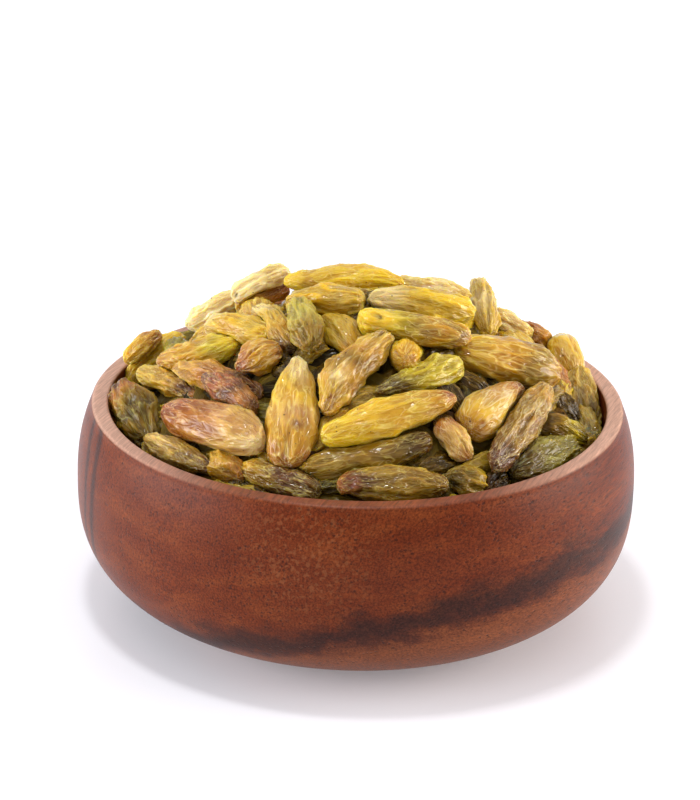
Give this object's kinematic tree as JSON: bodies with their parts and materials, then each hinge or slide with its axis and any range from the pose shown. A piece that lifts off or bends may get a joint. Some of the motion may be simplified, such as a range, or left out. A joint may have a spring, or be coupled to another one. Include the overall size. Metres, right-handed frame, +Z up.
{
  "type": "bowl of raisins",
  "caption": "Small turned wooden bowl with a rounded belly, heaped with long green and golden raisins.",
  "frame": {"origin": "on the table under the middle of the bowl", "axes": "+Z up along the bowl's axis; -Y towards the side that the picture shows; +X to its right"},
  "size_m": [0.102, 0.102, 0.061],
  "materials": {
    "turned_acacia": "turned, sanded and oiled, satin",
    "raisin_gold": "dried grape skin, golden, waxy",
    "raisin_bright": "dried grape skin, bright yellow green, waxy",
    "raisin_olive": "dried grape skin, olive, waxy",
    "raisin_dark": "dried grape skin, dark olive, glossy",
    "raisin_green": "dried grape skin, green, waxy",
    "raisin_amber": "dried grape skin, amber brown, waxy",
    "raisin_beige": "dried grape skin, beige, matt",
    "raisin_pale": "dried grape skin, pale cream green, waxy",
    "raisin_mixed": "dried grape skin, golden to olive, waxy"
  },
  "bodies": {
    "root": {"raisin_01_bright": "raisin_bright", "raisin_02_gold": "raisin_gold", "raisin_03_amber": "raisin_amber", "raisin_04_gold": "raisin_gold", "raisin_05_beige": "raisin_beige", "raisin_06_pale": "raisin_pale", "raisin_07_beige": "raisin_beige", "raisin_08_bright": "raisin_bright", "raisin_09_olive": "raisin_olive", "raisin_10_gold": "raisin_gold", "raisin_11_green": "raisin_green", "raisin_12_olive": "raisin_olive", "raisin_13_bright": "raisin_bright", "raisin_14_green": "raisin_green", "raisin_15_amber": "raisin_amber", "raisin_16_beige": "raisin_beige", "raisin_17_gold": "raisin_gold", "raisin_18_bright": "raisin_bright", "raisin_19_olive": "raisin_olive", "raisin_20_bright": "raisin_bright", "raisin_21_olive": "raisin_olive", "raisin_22_gold": "raisin_gold", "raisin_23_beige": "raisin_beige", "raisin_24_green": "raisin_green", "raisin_25_gold": "raisin_gold", "raisin_26_amber": "raisin_amber", "raisin_27_olive": "raisin_olive", "raisin_28_gold": "raisin_gold", "raisin_29_gold": "raisin_gold", "raisin_30_amber": "raisin_amber", "raisin_31_olive": "raisin_olive", "raisin_32_olive": "raisin_olive", "raisin_33_gold": "raisin_gold", "raisin_34_olive": "raisin_olive", "raisin_35_pale": "raisin_pale", "raisin_36_olive": "raisin_olive", "raisin_37_olive": "raisin_olive", "raisin_38_dark": "raisin_dark", "raisin_39_olive": "raisin_olive", "raisin_40_green": "raisin_green", "raisin_41_gold": "raisin_gold", "raisin_42_amber": "raisin_amber", "raisin_43_pale": "raisin_pale", "raisin_44_amber": "raisin_amber", "raisin_45_gold": "raisin_gold", "raisin_46_gold": "raisin_gold", "raisin_47_dark": "raisin_dark", "raisin_48_olive": "raisin_olive", "raisin_49_dark": "raisin_dark", "raisin_50_dark": "raisin_dark", "raisin_51_dark": "raisin_dark", "raisin_52_dark": "raisin_dark", "raisin_53_dark": "raisin_dark", "raisins_beneath": "raisin_mixed", "wooden_bowl": "turned_acacia"}
  },
  "joints": []
}
